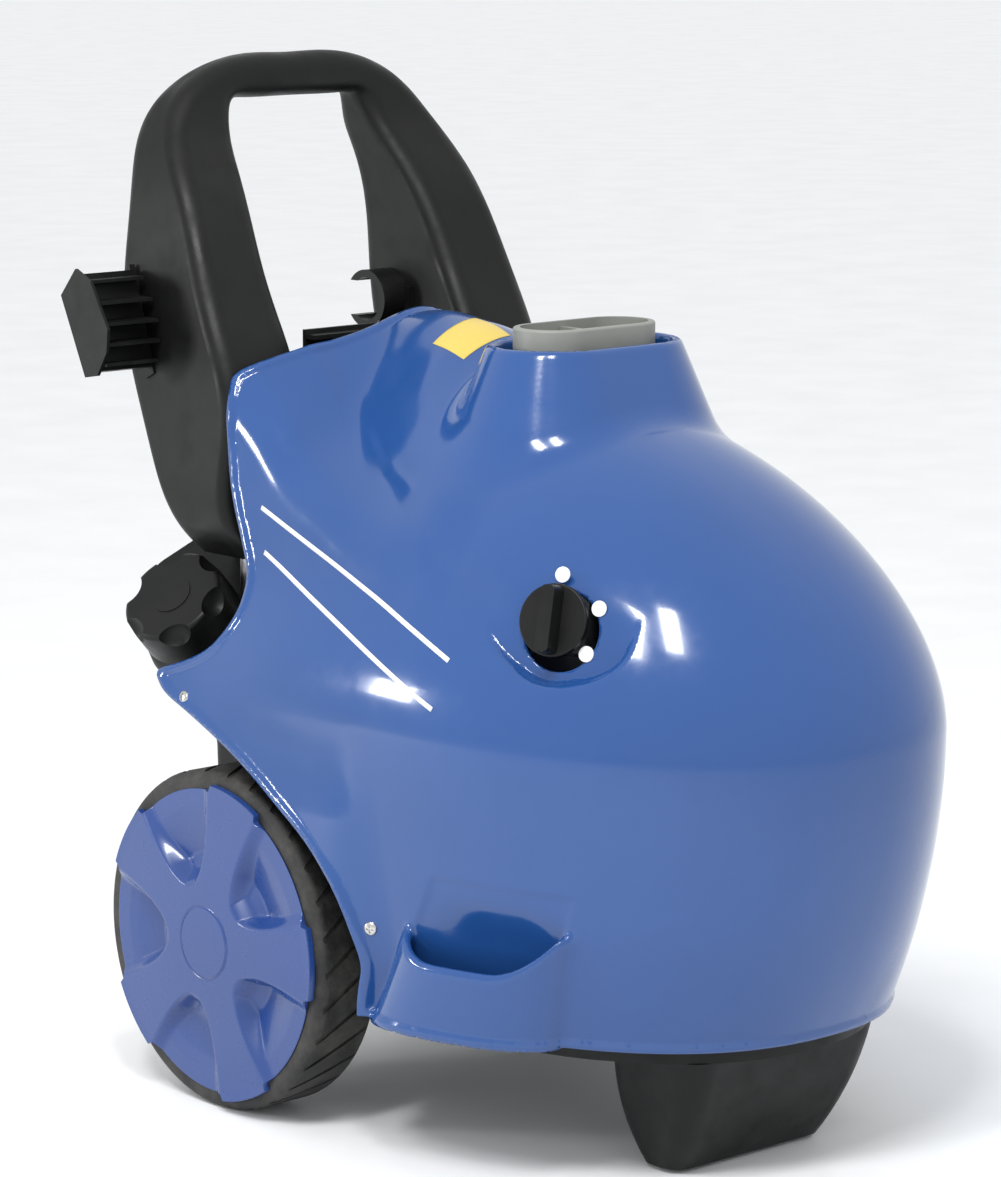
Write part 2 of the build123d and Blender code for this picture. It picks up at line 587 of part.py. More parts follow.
def fuel_pump():
    """Gear pump on the far end of the blower motor."""
    body = rod(26, 350, 386, BLOWER_X, BLOWER_Y) + block(BLOWER_X + 20, BLOWER_X + 40, 130, 150, 358, 378)
    return body - rod(5 + FIT, 345, 373, BLOWER_X, BLOWER_Y) + rod_y(5, 166, 176, BLOWER_X, 368)


def flue_duct():
    """Sheet duct that narrows from the boiler's round hole to the chimney's long one."""
    hole = (Pos(0, BOILER_Y, BOILER_TOP) * Circle(64)).wire()
    inside = (Pos(0, BOILER_Y, BOILER_TOP - 0.01) * Circle(61)).wire()
    outer = Part() + Solid.make_loft([hole, stadium(148, 70, 639.9)])
    return outer - Solid.make_loft([inside, stadium(144, 66, 640)])


# ---------------------------------------------------------------- motor and pump
def motor_body():
    """Finned stator housing."""
    body = flat_ring(MOTOR_R - 6, 46, 304, 468, PUMP_X, PUMP_Y)
    fin = Pos(MOTOR_R - 5, 0, 386) * Box(12, 2.5, 160)
    for turn in range(24):
        body += Pos(PUMP_X, PUMP_Y, 0) * Rot(0, 0, 15 * turn) * fin
    ends = rod(60, 304, 310, PUMP_X, PUMP_Y) + rod(60, 462, 468, PUMP_X, PUMP_Y)
    return body + ends - rod(9 + FIT, 290, 480, PUMP_X, PUMP_Y)


def motor_fan_cover():
    cover = rod(MOTOR_R, 468, 520, PUMP_X, PUMP_Y) - rod(MOTOR_R - 2, 460, 518, PUMP_X, PUMP_Y)
    for ring in range(3):
        slots = flat_ring(24 + 14 * ring, 18 + 14 * ring, 510, 530, PUMP_X, PUMP_Y)
        cross = block(PUMP_X - 80, PUMP_X + 80, PUMP_Y - 3, PUMP_Y + 3, 500, 540)
        cover -= slots - cross - Pos(PUMP_X, PUMP_Y, 0) * Rot(0, 0, 90) * Pos(-PUMP_X, -PUMP_Y, 0) * cross
    return cover


def motor_rotor():
    """Shaft and laminated rotor."""
    return rod(9, 262, 506, PUMP_X, PUMP_Y) + rod(44, 326, 446, PUMP_X, PUMP_Y)


def motor_fan():
    body = flat_ring(16, 9, 480, 502, PUMP_X, PUMP_Y)
    blade = Pos(34, 0, 492) * Rot(30, 0, 0) * Box(40, 2, 18)
    for turn in range(8):
        body += Pos(PUMP_X, PUMP_Y, 0) * Rot(0, 0, 45 * turn) * blade
    return body


def terminal_box():
    box = block(-186, -162.2, 110, 180, 350, 440) - block(-183, -160, 113, 177, 353, 437)
    return fillet(box.edges().filter_by(Axis.X).sort_by(Axis.X)[:4], 4)


def pump_body():
    """Aluminium crankcase with the wobble plate chamber."""
    body = rod(54, 222, 304, PUMP_X, PUMP_Y) - rod(44, 228, 298, PUMP_X, PUMP_Y)
    body -= rod(9 + FIT, 290, 310, PUMP_X, PUMP_Y) + rod(9.05, 240, 300, PUMP_X, PUMP_Y)
    for turn in range(4):
        ear = rod(8, 222, 240, 56, 0)
        body += Pos(PUMP_X, PUMP_Y, 0) * Rot(0, 0, 45 + 90 * turn) * ear
    return body - rod(44, 228, 298, PUMP_X, PUMP_Y)


def wobble_plate():
    """Slanted plate on the shaft that drives the pistons."""
    plate = rod(36, 246, 266, PUMP_X, PUMP_Y)
    plate -= Pos(PUMP_X, PUMP_Y, 246) * Rot(10, 0, 0) * Box(100, 100, 14)
    return plate - rod(9, 262, 300, PUMP_X, PUMP_Y)


def pump_head():
    """Brass valve head with its ports and six valve plugs."""
    head = rod(50, 178, 222, PUMP_X, PUMP_Y)
    for turn in range(6):
        cap = Pos(PUMP_X, PUMP_Y, 0) * Rot(0, 0, 60 * turn) * Pos(32, 0, 172) * extrude(RegularPolygon(9, 6), 6)
        head += cap
    head += rod_y(11, 190, 204, PUMP_X, 200)
    return head


def unloader_valve():
    """Brass valve block in front of the head, with the regulator spindle."""
    body = block(PUMP_X - 18, PUMP_X + 18, REGULATOR_Y - 12, 100, 182, 218)
    body -= rod(50, 170, 230, PUMP_X, PUMP_Y)
    return body + rod(6, 218, 250, PUMP_X, REGULATOR_Y)


def pressure_knob():
    """Fluted hand knob on the regulator spindle."""
    knob = rod(15, 228, 256, PUMP_X, REGULATOR_Y) - rod(6 + FIT, 220, 251, PUMP_X, REGULATOR_Y)
    for turn in range(8):
        knob -= Pos(PUMP_X, REGULATOR_Y, 0) * Rot(0, 0, 45 * turn) * rod(2.5, 220, 260, 16, 0)
    return knob


# ---------------------------------------------------------------- pipes, couplings and wiring
def water_inlet():
    """Brass hose spigot at the back of the tray."""
    body = rod_y(14, TRAY_REAR - WALL, TRAY_REAR, -60, 140) + rod_y(19, TRAY_REAR, TRAY_REAR + 6, -60, 140)
    body += rod_y(13, TRAY_REAR + 6, TRAY_REAR + 32, -60, 140)
    return body - rod_y(8, TRAY_REAR - 30, TRAY_REAR + 40, -60, 140) + inlet_stub()


def inlet_stub():
    return rod_y(12, TRAY_REAR - 14, TRAY_REAR - WALL, -60, 140) - rod_y(8, 200, 300, -60, 140)


def pressure_outlet():
    """Brass high-pressure outlet with its threaded spigot."""
    body = rod_y(14, TRAY_REAR - WALL, TRAY_REAR, 60, 140) + rod_y(17, TRAY_REAR, TRAY_REAR + 8, 60, 140)
    body += rod_y(11, TRAY_REAR - 14, TRAY_REAR + 30, 60, 140)
    return body - rod_y(6, TRAY_REAR - 30, TRAY_REAR + 40, 60, 140)


def cable_gland():
    """Nylon gland for the mains lead."""
    body = rod_y(9, TRAY_REAR - WALL, TRAY_REAR, 0, 140)
    body += rod_y(13, TRAY_REAR, TRAY_REAR + 6, 0, 140)
    nut = Pos(0, TRAY_REAR + 6, 140) * Rot(-90, 0, 0) * extrude(RegularPolygon(13, 6), 10)
    body += nut + rod_y(10, TRAY_REAR + 16, TRAY_REAR + 22, 0, 140)
    return body - rod_y(5, TRAY_REAR - 20, TRAY_REAR + 40, 0, 140)


def water_pipe():
    """From the inlet, over the axle, to the pump head."""
    return pipe([(-60, TRAY_REAR - 14, 140), (-60, 212, 140), (PUMP_X, 212, 172), (PUMP_X, 212, 200),
                 (PUMP_X, 204, 200)], 5, 3.5)


def pump_pipe():
    """High-pressure pipe from the unloader valve to the bottom of the coil."""
    return pipe([(PUMP_X + 18, 84, 200), (-40, 84, 200), (-40, 100, 230), (0, 112, COIL_LOW),
                 (0, BOILER_Y + 138, COIL_LOW)], 5, 7)


def outlet_pipe():
    """High-pressure pipe from the top of the coil down to the outlet."""
    return pipe([(0, BOILER_Y + 138, COIL_HIGH), (0, 200, COIL_HIGH), (0, 206, 180), (60, 212, 140),
                 (60, TRAY_REAR - 14, 140)], 5, 12)


def fuel_line():
    """Thin line from the tank's foot to the fuel pump."""
    return pipe([(BLOWER_X, 176, 368), (BLOWER_X, 205, 368), (BLOWER_X, 205, 200),
                 (BLOWER_X, TANK_FRONT, 200)], 4, 12)


def control_box():
    """Moulded housing for the electrics, open at the front."""
    box = block(-80, 80, -285, -195, 200, 330) - block(-77, 77, -290, -198, 203, 327)
    return box + block(-60, -30, -240, -195, FLOOR_Z + FLOOR_T, 200) + block(30, 60, -240, -195, 114, 200)


def control_box_cover():
    lid = block(-80, 80, -291, -285, 200, 330)
    return fillet(lid.edges().filter_by(Axis.Y), 5)


def contactor():
    return block(-60, -10, -250, -198, 225, 300) + block(-56, -14, -262, -250, 235, 290)


def ignition_transformer():
    body = block(100, 150, -160, -90, FLOOR_Z + FLOOR_T, 190)
    body = fillet(body.edges().filter_by(Axis.Z), 6)
    return body + rod(6, 190, 204, 115, -125) + rod(6, 190, 204, 135, -125)


def rubber_mounts():
    """Rubber feet that the pump hangs on, standing on the tray."""
    mounts = [rod(10, FLOOR_Z + FLOOR_T, CRADLE_Z, x, y) for x, y in ((-135, 120), (-55, 120), (-100, 194))]
    return group(*mounts)


def rear_panel():
    """Louvred panel that closes the hood between the handle's arms."""
    panel = block(-97, 97, 219, 223, 500, 668)
    for step in range(8):
        panel -= block(-70, 70, 210, 230, 540 + 13 * step, 545 + 13 * step)
    hood_lip = block(-97, 97, 206, 219, 660, 664)
    panel += hood_lip
    return panel


# ---------------------------------------------------------------- writing the files
NODES = {
    "chassis_base": chassis_base, "front_foot": front_foot, "foot_pads": foot_pads,
    "handle_posts": handle_posts, "handle_frame": handle_frame, "hose_hook": hose_hook,
    "lance_clip": lance_clip, "rear_panel": rear_panel, "fuel_tank": fuel_tank,
    "fuel_cap_plug": fuel_cap_plug, "fuel_cap_seal": fuel_cap_seal, "fuel_cap_grip": fuel_cap_grip,
    "fuel_strainer": fuel_strainer, "hood": hood, "hood_screws": hood_screws, "chimney": chimney,
    "switch_knob": switch_knob, "switch_body": switch_body, "switch_markers": switch_markers,
    "axle": axle, "axle_collars": axle_collars,
    "boiler_shell": boiler_shell, "boiler_coil": boiler_coil, "steel_brackets": steel_brackets,
    "flue_duct": flue_duct, "burner_head": burner_head, 
    "blower_housing": blower_housing, "blower_wheel": blower_wheel, 
    "blower_motor": blower_motor, "fuel_pump": fuel_pump,
    "motor_body": motor_body, "motor_fan_cover": motor_fan_cover, "motor_rotor": motor_rotor,
    "motor_fan": motor_fan, "terminal_box": terminal_box,
    "pump_body": pump_body, "wobble_plate": wobble_plate, "pump_head": pump_head,
    "unloader_valve": unloader_valve, "pressure_knob": pressure_knob,
    "rubber_mounts": rubber_mounts,
    "water_inlet": water_inlet, "pressure_outlet": pressure_outlet, "cable_gland": cable_gland,
    "water_pipe": water_pipe, "pump_pipe": pump_pipe, "outlet_pipe": outlet_pipe,
    "fuel_line": fuel_line,
    "control_box": control_box, "control_box_cover": control_box_cover, "contactor": contactor,
    "ignition_transformer": ignition_transformer,
}
SIDED = {"tyre": tyre, "rim": rim, "wheel_bush": wheel_bush, "hubcap": hubcap}

os.makedirs(PARTS, exist_ok=True)
for name, make in NODES.items():
    export_step(make(), os.path.join(PARTS, name + ".step"))
for name, make in SIDED.items():
    for side, word in ((-1, "right"), (1, "left")):
        export_step(make(side), os.path.join(PARTS, name + "_" + word + ".step"))
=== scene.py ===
"""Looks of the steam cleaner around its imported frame: moulded hood, wheels, decals, materials, studio."""
import json
from math import atan2, cos, hypot, pi, radians, sin, sqrt

import bpy
import numpy as np
import openvdb
from mathutils import Matrix, Vector


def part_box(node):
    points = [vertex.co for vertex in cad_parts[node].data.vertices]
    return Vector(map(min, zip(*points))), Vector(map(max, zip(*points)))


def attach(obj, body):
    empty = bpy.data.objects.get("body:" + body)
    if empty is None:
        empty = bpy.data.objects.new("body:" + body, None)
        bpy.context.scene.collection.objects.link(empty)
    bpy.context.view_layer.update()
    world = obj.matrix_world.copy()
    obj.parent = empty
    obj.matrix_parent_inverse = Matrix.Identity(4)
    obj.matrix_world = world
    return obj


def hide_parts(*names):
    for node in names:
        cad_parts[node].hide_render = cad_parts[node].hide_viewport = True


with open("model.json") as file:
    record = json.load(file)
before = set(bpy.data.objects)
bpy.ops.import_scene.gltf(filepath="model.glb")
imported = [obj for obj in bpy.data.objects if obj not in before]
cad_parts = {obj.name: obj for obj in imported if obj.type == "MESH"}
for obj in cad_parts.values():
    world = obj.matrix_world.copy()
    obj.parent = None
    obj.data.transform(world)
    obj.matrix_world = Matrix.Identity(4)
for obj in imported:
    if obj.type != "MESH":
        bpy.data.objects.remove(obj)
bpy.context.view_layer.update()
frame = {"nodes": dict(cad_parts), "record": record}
nodes = frame["nodes"]

MM = 0.001
GRID = 3.0    # cell of the hood's field, in mm
HOOD_WALL = 3.5


# ---------------------------------------------------------------- camera, floor and lights
def add_camera():
    """The photograph's view: from the machine's right front, a little above it."""
    right = Vector((0.7463, -0.6656, 0.0))
    up = Vector((0.1144, 0.1283, 0.985))
    back = -Vector((0.6557, 0.7352, -0.172))
    data = bpy.data.cameras.new("camera")
    data.sensor_width = 36.0
    data.lens = 133.1
    data.clip_end = 60.0
    camera = bpy.data.objects.new("camera", data)
    turn = Matrix((right, up, back)).transposed().to_4x4()
    camera.matrix_world = Matrix.Translation((-2.510, -2.745, 1.103)) @ turn
    bpy.context.scene.collection.objects.link(camera)
    bpy.context.scene.camera = camera


def add_light(name, where, size, power):
    """A soft box at a place, facing the middle of the machine."""
    data = bpy.data.lights.new(name, "AREA")
    data.shape = "RECTANGLE"
    data.size, data.size_y = size
    data.energy = power
    light = bpy.data.objects.new(name, data)
    light.location = where
    aim = Vector((0, 0, 0.45)) - Vector(where)
    light.rotation_euler = aim.to_track_quat("-Z", "Y").to_euler()
    bpy.context.scene.collection.objects.link(light)


# name, place in m, size in m, power in W
SOFT_BOXES = (("key", (-1.75, -0.75, 2.6), (0.30, 0.75), 30),
              ("key_twin", (-1.15, -1.1, 2.6), (0.28, 0.70), 22),
              ("low", (-2.3, 1.75, 0.85), (0.40, 0.40), 16))
FLOOR_REACH = 60.0


def add_studio():
    """Plain pale floor, an even bright world and three soft boxes."""
    world = bpy.data.worlds.new("studio")
    bpy.context.scene.world = world
    world.use_nodes = True
    background = world.node_tree.nodes["Background"]
    background.inputs["Color"].default_value = (0.98, 0.99, 1.0, 1)
    background.inputs["Strength"].default_value = 0.92
    bpy.context.scene.view_settings.view_transform = "Standard"
    floor_mesh = bpy.data.meshes.new("floor")
    corners = [(FLOOR_REACH * x, FLOOR_REACH * y, 0) for x, y in ((-1, -1), (1, -1), (1, 1), (-1, 1))]
    floor_mesh.from_pydata(corners, [], [(0, 1, 2, 3)])
    floor = bpy.data.objects.new("floor", floor_mesh)
    bpy.context.scene.collection.objects.link(floor)
    floor.data.materials.append(finish("floor_paper", (0.95, 0.96, 0.97), 0.9, mottle=0.02, grain=0.0))
    for name, where, size, power in SOFT_BOXES:
        add_light(name, where, size, power)


# ---------------------------------------------------------------- materials
class Tree:
    """Short way to write a material's nodes."""

    def __init__(self, name):
        self.material = bpy.data.materials.new(name)
        self.material.use_nodes = True
        self.nodes = self.material.node_tree.nodes
        self.links = self.material.node_tree.links
        self.shader = self.nodes["Principled BSDF"]
        self.coords = self.nodes.new("ShaderNodeTexCoord").outputs["Object"]

    def link(self, value, socket):
        if isinstance(value, bpy.types.NodeSocket):
            self.links.new(value, socket)
        else:
            socket.default_value = value

    def noise(self, scale, detail=3.0, roughness=0.5, stretch=None):
        node = self.nodes.new("ShaderNodeTexNoise")
        node.inputs["Scale"].default_value = scale
        node.inputs["Detail"].default_value = detail
        node.inputs["Roughness"].default_value = roughness
        source = self.coords
        if stretch:
            mapping = self.nodes.new("ShaderNodeMapping")
            mapping.inputs["Scale"].default_value = stretch
            self.links.new(self.coords, mapping.inputs["Vector"])
            source = mapping.outputs["Vector"]
        self.links.new(source, node.inputs["Vector"])
        return node.outputs["Fac"]

    def cells(self, scale):
        node = self.nodes.new("ShaderNodeTexVoronoi")
        node.inputs["Scale"].default_value = scale
        self.links.new(self.coords, node.inputs["Vector"])
        return node.outputs["Distance"]

    def range(self, value, low, high, to_low, to_high):
        node = self.nodes.new("ShaderNodeMapRange")
        self.links.new(value, node.inputs["Value"])
        for key, number in (("From Min", low), ("From Max", high), ("To Min", to_low), ("To Max", to_high)):
            node.inputs[key].default_value = number
        return node.outputs["Result"]

    def math(self, kind, a, b):
        node = self.nodes.new("ShaderNodeMath")
        node.operation = kind
        self.link(a, node.inputs[0])
        self.link(b, node.inputs[1])
        return node.outputs["Value"]

    def mix(self, share, a, b):
        node = self.nodes.new("ShaderNodeMix")
        node.data_type = "RGBA"
        self.link(share, node.inputs["Factor"])
        self.link(a, node.inputs["A"])
        self.link(b, node.inputs["B"])
        return node.outputs["Result"]

    def edges(self, low=0.52, high=0.60):
        """1 on sharp outer edges, 0 elsewhere."""
        geometry = self.nodes.new("ShaderNodeNewGeometry")
        return self.range(geometry.outputs["Pointiness"], low, high, 0.0, 1.0)

    def upward(self):
        """1 on faces that look up, where dust settles."""
        geometry = self.nodes.new("ShaderNodeNewGeometry")
        split = self.nodes.new("ShaderNodeSeparateXYZ")
        self.links.new(geometry.outputs["Normal"], split.inputs["Vector"])
        return self.range(split.outputs["Z"], 0.2, 1.0, 0.0, 1.0)

    def bump(self, height, distance, strength=1.0):
        node = self.nodes.new("ShaderNodeBump")
        node.inputs["Distance"].default_value = distance
        node.inputs["Strength"].default_value = strength
        self.links.new(height, node.inputs["Height"])
        self.links.new(node.outputs["Normal"], self.shader.inputs["Normal"])


def shade(colour, factor):
    """A colour made lighter or darker, with its alpha."""
    return (*[min(1.0, channel * factor) for channel in colour], 1)


def finish(name, colour, roughness, metallic=0.0, mottle=0.10, grain=0.00006, grain_scale=900.0,
           wear=0.0, wear_colour=(0.5, 0.5, 0.5), dust=0.0, dust_colour=(0.35, 0.33, 0.30), coat=0.0,
           brushed=None, cast=0.0, gloss=0.5):
    """Moulded, painted or metal surface: drifting colour, speckle, worn edges, settled dust, fine grain."""
    tree = Tree(name)
    drift = tree.noise(6.0, 4.0)
    speckle = tree.noise(420.0, 2.0)
    share = tree.range(drift, 0.35, 0.65, 0.0, 1.0)
    tone = tree.mix(share, shade(colour, 1 - mottle), shade(colour, 1 + mottle))
    tone = tree.mix(tree.range(speckle, 0.68, 0.78, 0.0, 0.35), tone, shade(colour, 1 + 2.5 * mottle))
    rough = tree.math("ADD", tree.range(tree.noise(38.0, 5.0), 0.3, 0.7, -0.25 * roughness, 0.25 * roughness),
                      roughness)
    if wear:
        patch = tree.range(tree.noise(55.0, 5.0), 0.42, 0.62, 0.0, wear)
        worn = tree.math("MULTIPLY", patch, tree.edges())
        tone = tree.mix(worn, tone, (*wear_colour, 1))
    if dust:
        patch = tree.range(tree.noise(14.0, 6.0, 0.65), 0.4, 0.75, 0.0, dust)
        settled = tree.math("MULTIPLY", patch, tree.math("ADD", tree.upward(), 0.35))
        tone = tree.mix(settled, tone, (*dust_colour, 1))
        rough = tree.math("ADD", rough, tree.math("MULTIPLY", settled, 0.4))
    tree.link(tone, tree.shader.inputs["Base Color"])
    tree.link(rough, tree.shader.inputs["Roughness"])
    tree.shader.inputs["Metallic"].default_value = metallic
    tree.shader.inputs["Specular IOR Level"].default_value = gloss
    tree.shader.inputs["Coat Weight"].default_value = coat
    tree.shader.inputs["Coat Roughness"].default_value = 0.05
    if brushed:
        tree.bump(tree.noise(220.0, 6.0, 0.6, stretch=brushed), 0.00008)
    elif cast:
        tree.bump(tree.math("ADD", tree.noise(160.0, 6.0, 0.7), tree.cells(260.0)), cast)
    elif grain:
        tree.bump(tree.math("ADD", tree.noise(grain_scale, 3.0), tree.noise(30.0, 2.0)), grain)
    return tree.material


def blue_moulding(name, colour, roughness, ripple):
    """High-gloss pigmented plastic: faint flow marks, fine scratches, slightly uneven gloss."""
    tree = Tree(name)
    flow = tree.noise(3.5, 3.0, 0.5, stretch=(1.0, 1.0, 2.2))
    tone = tree.mix(tree.range(flow, 0.3, 0.7, 0.0, 1.0), shade(colour, 0.95), shade(colour, 1.05))
    fleck = tree.range(tree.cells(210.0), 0.0, 0.03, 0.5, 0.0)
    fleck = tree.math("MULTIPLY", fleck, tree.range(tree.noise(25.0), 0.58, 0.62, 0.0, 1.0))
    tone = tree.mix(fleck, tone, shade(colour, 1.35))
    rub = tree.range(tree.noise(18.0, 6.0, 0.7), 0.35, 0.7, -0.03, 0.07)
    scratch = tree.range(tree.noise(90.0, 8.0, 0.8, stretch=(1.0, 6.0, 0.35)), 0.66, 0.72, 0.0, 0.10)
    tree.link(tone, tree.shader.inputs["Base Color"])
    tree.link(tree.math("ADD", tree.math("ADD", rub, scratch), roughness), tree.shader.inputs["Roughness"])
    tree.shader.inputs["IOR"].default_value = 1.5
    tree.shader.inputs["Coat Weight"].default_value = 0.35
    tree.shader.inputs["Coat Roughness"].default_value = 0.06
    tree.bump(tree.math("ADD", tree.noise(14.0, 2.0), tree.math("MULTIPLY", tree.noise(700.0, 2.0), 0.02)),
              ripple)
    return tree.material


def tyre_rubber(name):
    """Dusty black rubber with fine pores and grey dirt in its hollows."""
    tree = Tree(name)
    dirt = tree.range(tree.noise(28.0, 8.0, 0.7), 0.42, 0.72, 0.0, 0.75)
    tone = tree.mix(dirt, (0.010, 0.010, 0.010, 1), (0.085, 0.080, 0.072, 1))
    tree.link(tone, tree.shader.inputs["Base Color"])
    tree.link(tree.math("ADD", tree.math("MULTIPLY", dirt, 0.25), 0.62), tree.shader.inputs["Roughness"])
    tree.bump(tree.math("ADD", tree.noise(350.0, 6.0, 0.7), tree.noise(60.0, 4.0)), 0.0004)
    return tree.material


def make_materials():
    """One material for each slot of the record, and one for the printed label."""
    return {
        "black_plastic": finish("black_plastic_satin", (0.0045, 0.0050, 0.0045), 0.44, mottle=0.12,
                                grain=0.00005, wear=0.12, wear_colour=(0.04, 0.04, 0.04), dust=0.01,
                                gloss=0.25),
        "blue_hood": blue_moulding("blue_hood_gloss", (0.0145, 0.067, 0.240), 0.13, 0.00010),
        "blue_hubcap": blue_moulding("blue_hubcap_gloss", (0.015, 0.052, 0.215), 0.26, 0.00005),
        "grey_flue": finish("grey_flue_paint", (0.235, 0.245, 0.225), 0.46, mottle=0.05, grain=0.00012,
                            wear=0.3, wear_colour=(0.2, 0.19, 0.17), dust=0.15),
        "white_marker": finish("white_print", (0.80, 0.81, 0.83), 0.38, mottle=0.03, grain=0.00002),
        "tyre_rubber": tyre_rubber("tyre_rubber_dusty"),
        "seal_rubber": finish("seal_rubber_matt", (0.014, 0.014, 0.014), 0.72, mottle=0.2, grain=0.00010),
        "stainless": finish("stainless_brushed", (0.60, 0.59, 0.57), 0.28, metallic=1.0, mottle=0.05,
                            brushed=(1.0, 1.0, 12.0)),
        "plain_steel": finish("plain_steel_turned", (0.48, 0.48, 0.49), 0.34, metallic=1.0, mottle=0.08,
                              brushed=(12.0, 1.0, 1.0)),
        "sheet_steel": finish("sheet_steel_rolled", (0.42, 0.42, 0.42), 0.42, metallic=1.0, mottle=0.12,
                              brushed=(1.0, 9.0, 1.0)),
        "dark_paint": finish("dark_paint_sprayed", (0.045, 0.047, 0.050), 0.38, mottle=0.1, grain=0.00015,
                             wear=0.4, wear_colour=(0.25, 0.25, 0.25)),
        "cast_aluminium": finish("aluminium_cast", (0.55, 0.56, 0.57), 0.48, metallic=1.0, mottle=0.08,
                                 cast=0.0004),
        "brass": finish("brass_turned", (0.66, 0.45, 0.17), 0.30, metallic=1.0, mottle=0.12,
                        brushed=(10.0, 1.0, 1.0)),
        "nylon": finish("nylon_natural", (0.66, 0.64, 0.58), 0.45, mottle=0.05, grain=0.00008),
        "yellow_label": finish("yellow_label_film", (0.64, 0.48, 0.10), 0.30, mottle=0.06, grain=0.00002),
    }


def dress(obj, material):
    """Puts one material on every face of a piece."""
    obj.data.materials.clear()
    obj.data.materials.append(material)


# ---------------------------------------------------------------- signed fields, in mm
def smin(a, b, k):
    """Union of two fields with a fillet about k wide."""
    h = np.maximum(k - np.abs(a - b), 0) / k
    return np.minimum(a, b) - h * h * k / 4


def smax(a, b, k):
    """Intersection of two fields with a rounded edge about k wide."""
    return -smin(-a, -b, k)


def step(x, low, high):
    """0 below low, 1 above high, smooth between."""
    t = np.clip((x - low) / (high - low), 0, 1)
    return t * t * (3 - 2 * t)


DOME_MID, DOME_WIDE, DOME_LONG, DOME_TAIL = 5.0, 245.0, 390.0, 430.0
BELLY_Z, DOME_HIGH = 364.0, 269.0    # height of the widest place, and the crown above it
PLAN_POWER, CROWN_POWER = 2.3, 1.75


def dome_ratio(x, y, z):
    """1 on the front dome: a rounded box in plan, closing over the top and tucking in below."""
    away = np.abs(y - DOME_MID)
    long = np.where(y < DOME_MID, DOME_LONG, DOME_TAIL)
    tuck = np.clip((BELLY_Z - z) / 244.0, 0, 1.3) ** 2
    wide = DOME_WIDE * (1 - 0.10 * tuck)
    long = long * (1 - 0.14 * tuck)
    plan = ((np.abs(x) / wide) ** PLAN_POWER + (away / long) ** PLAN_POWER + 1e-9) ** (1 / PLAN_POWER)
    rise = np.clip((z - BELLY_Z) / DOME_HIGH, 0, None)
    return (plan ** CROWN_POWER + rise ** CROWN_POWER) ** (1 / CROWN_POWER)


def dome(x, y, z):
    """Distance to the front dome, near enough close to it."""
    value = dome_ratio(x, y, z)
    tiny = 1.0
    dx = dome_ratio(x + tiny, y, z) - value
    dy = dome_ratio(x, y + tiny, z) - value
    dz = dome_ratio(x, y, z + tiny) - value
    return (value - 1) / np.sqrt(dx * dx + dy * dy + dz * dz + 1e-8)


# half width of the rear of the hood by height, and height of its shoulder by distance from the nose
FLANK = ((100, 256), (200, 257), (290, 252), (345, 238), (400, 220), (450, 207), (510, 197), (570, 191),
         (720, 189))
SHOULDER = ((-420, 330), (-140, 452), (-80, 473), (-35, 495), (45, 523), (137, 572), (170, 600),
            (217, 634), (330, 668))
ROOF_SLOPE = ((0, 0.10), (105, 0.22), (160, 0.38), (217, 0.56))
WING_NOSE = -45.0                    # the side panels melt into the dome in front of this


CURVES = {}                          # smoothed tables, kept by table and blur


def through(value, table, blur=24):
    """A smooth curve through a table's points, with its corners rounded over about blur mm."""
    key = (table, blur)
    if key not in CURVES:
        xs, ys = zip(*table)
        fine = np.arange(xs[0] - 2 * blur, xs[-1] + 2 * blur + 1.0)
        kernel = np.hanning(2 * blur + 1)
        padded = np.interp(np.arange(fine[0] - blur, fine[-1] + blur + 1.0), xs, ys)
        CURVES[key] = fine, np.convolve(padded, kernel / kernel.sum(), "valid")
    return np.interp(value, *CURVES[key])


def wings(x, y, z):
    """Rear side panels: upright flanks, and a roof that climbs from the shoulder towards the middle."""
    side = np.abs(x) - through(z, FLANK)
    inward = np.clip(191 - np.abs(x), 0, 77)
    roof_z = through(y, SHOULDER) + through(y, ROOF_SLOPE) * inward + 0.1 * np.clip(114 - np.abs(x), 0, 114)
    roof = (z - roof_z) * 0.86
    return smax(smax(side, roof, 34.0), WING_NOSE - y, 60.0)


# half width of the crown by distance from the nose, the height of its foot there, and of its middle
RIDGE = ((-240, 205), (-155, 186), (-71, 181), (-6, 164), (45, 145), (105, 117), (150, 92), (207, 70))
RIDGE_FOOT = ((-120, 500), (-60, 528), (24, 545), (105, 577), (158, 614), (186, 642), (240, 664))
CROWN = ((-90, 560), (-40, 600), (20, 650), (80, 677), (140, 685), (200, 680), (260, 672))
RIDGE_STEP = 8.0


def crown(x, y, z):
    """Raised back of the machine behind the collar, which sweeps down to a soft edge at each side."""
    half = through(y, RIDGE)
    foot = through(y, RIDGE_FOOT) + RIDGE_STEP
    across = np.abs(x) / half
    top = foot + (through(y, CROWN) - foot) * (1 - np.clip(across, 0, 1.2) ** 1.8)
    sheet = (z - top) * 0.75
    return smax(sheet, (np.abs(x) - half) * 0.7, 20.0)


def fields(x, y, z):
    """The hood's outer surface, without its cut edges."""
    fillet = 16 + 28 * step(z, 470, 540)
    body = smin(lowered_sides(dome(x, y, z), x, y, z), wings(x, y, z), fillet)
    body = smin(body, smax(crown(x, y, z), -60 - y, 40.0), 34.0)
    body = with_collar(body, x, y, z)
    body = with_pocket(body, x, y, z)
    body = with_switch(body, x, y, z)
    return body


def lowered_sides(body, x, y, z):
    """The crown stands proud of the side panels by a soft step that sweeps down to the switch."""
    outside = step(np.abs(x) - through(y, RIDGE), -5, 13)
    return body + RIDGE_STEP * outside * step(z, 395, 505) * step(y, -230, -130)


COLLAR_Y, COLLAR_HALF, COLLAR_R, COLLAR_TOP = -38.0, 36.0, 56.0, 674.0
WELL_R = 50.0


